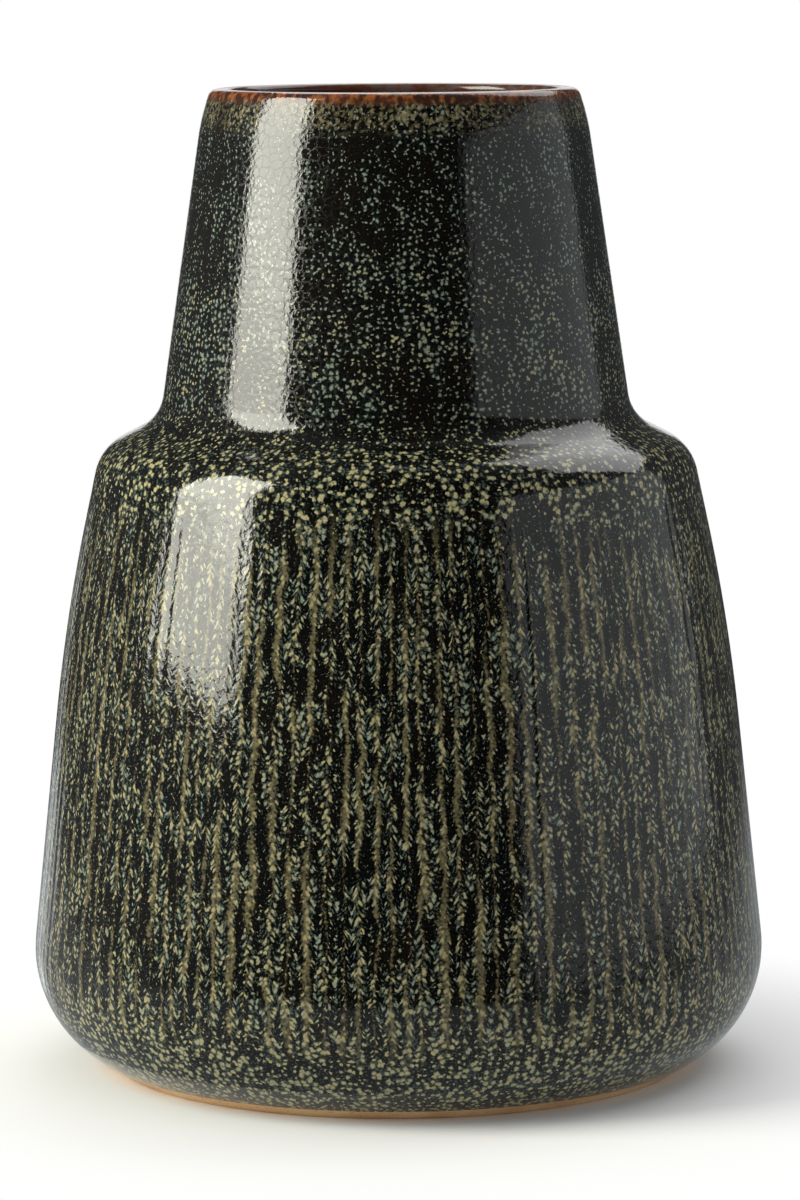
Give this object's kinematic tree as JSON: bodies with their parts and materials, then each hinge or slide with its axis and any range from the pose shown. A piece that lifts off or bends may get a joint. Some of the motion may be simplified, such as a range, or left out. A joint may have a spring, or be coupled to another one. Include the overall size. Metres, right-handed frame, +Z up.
{
  "type": "bottle vase",
  "caption": "Broad-bellied glazed stoneware vase with a narrow sloping shoulder, a straight tapered neck and a bare foot ring.",
  "frame": {"origin": "centre of the foot ring, on the surface that the vase stands on", "axes": "+Z up along the axis the pot was turned on; +X to the right and +Y away from the viewer of the picture"},
  "size_m": [0.2102, 0.2101, 0.28],
  "materials": {
    "bare_stoneware": "fired, unglazed, fine matt grain",
    "speckled_dark_glaze": "glossy black-brown with cream and olive spots",
    "brown_liner_glaze": "glossy dark reddish brown"
  },
  "bodies": {
    "root": {"stoneware_body": "bare_stoneware", "outer_glaze": "speckled_dark_glaze", "inner_glaze": "brown_liner_glaze"}
  },
  "joints": []
}
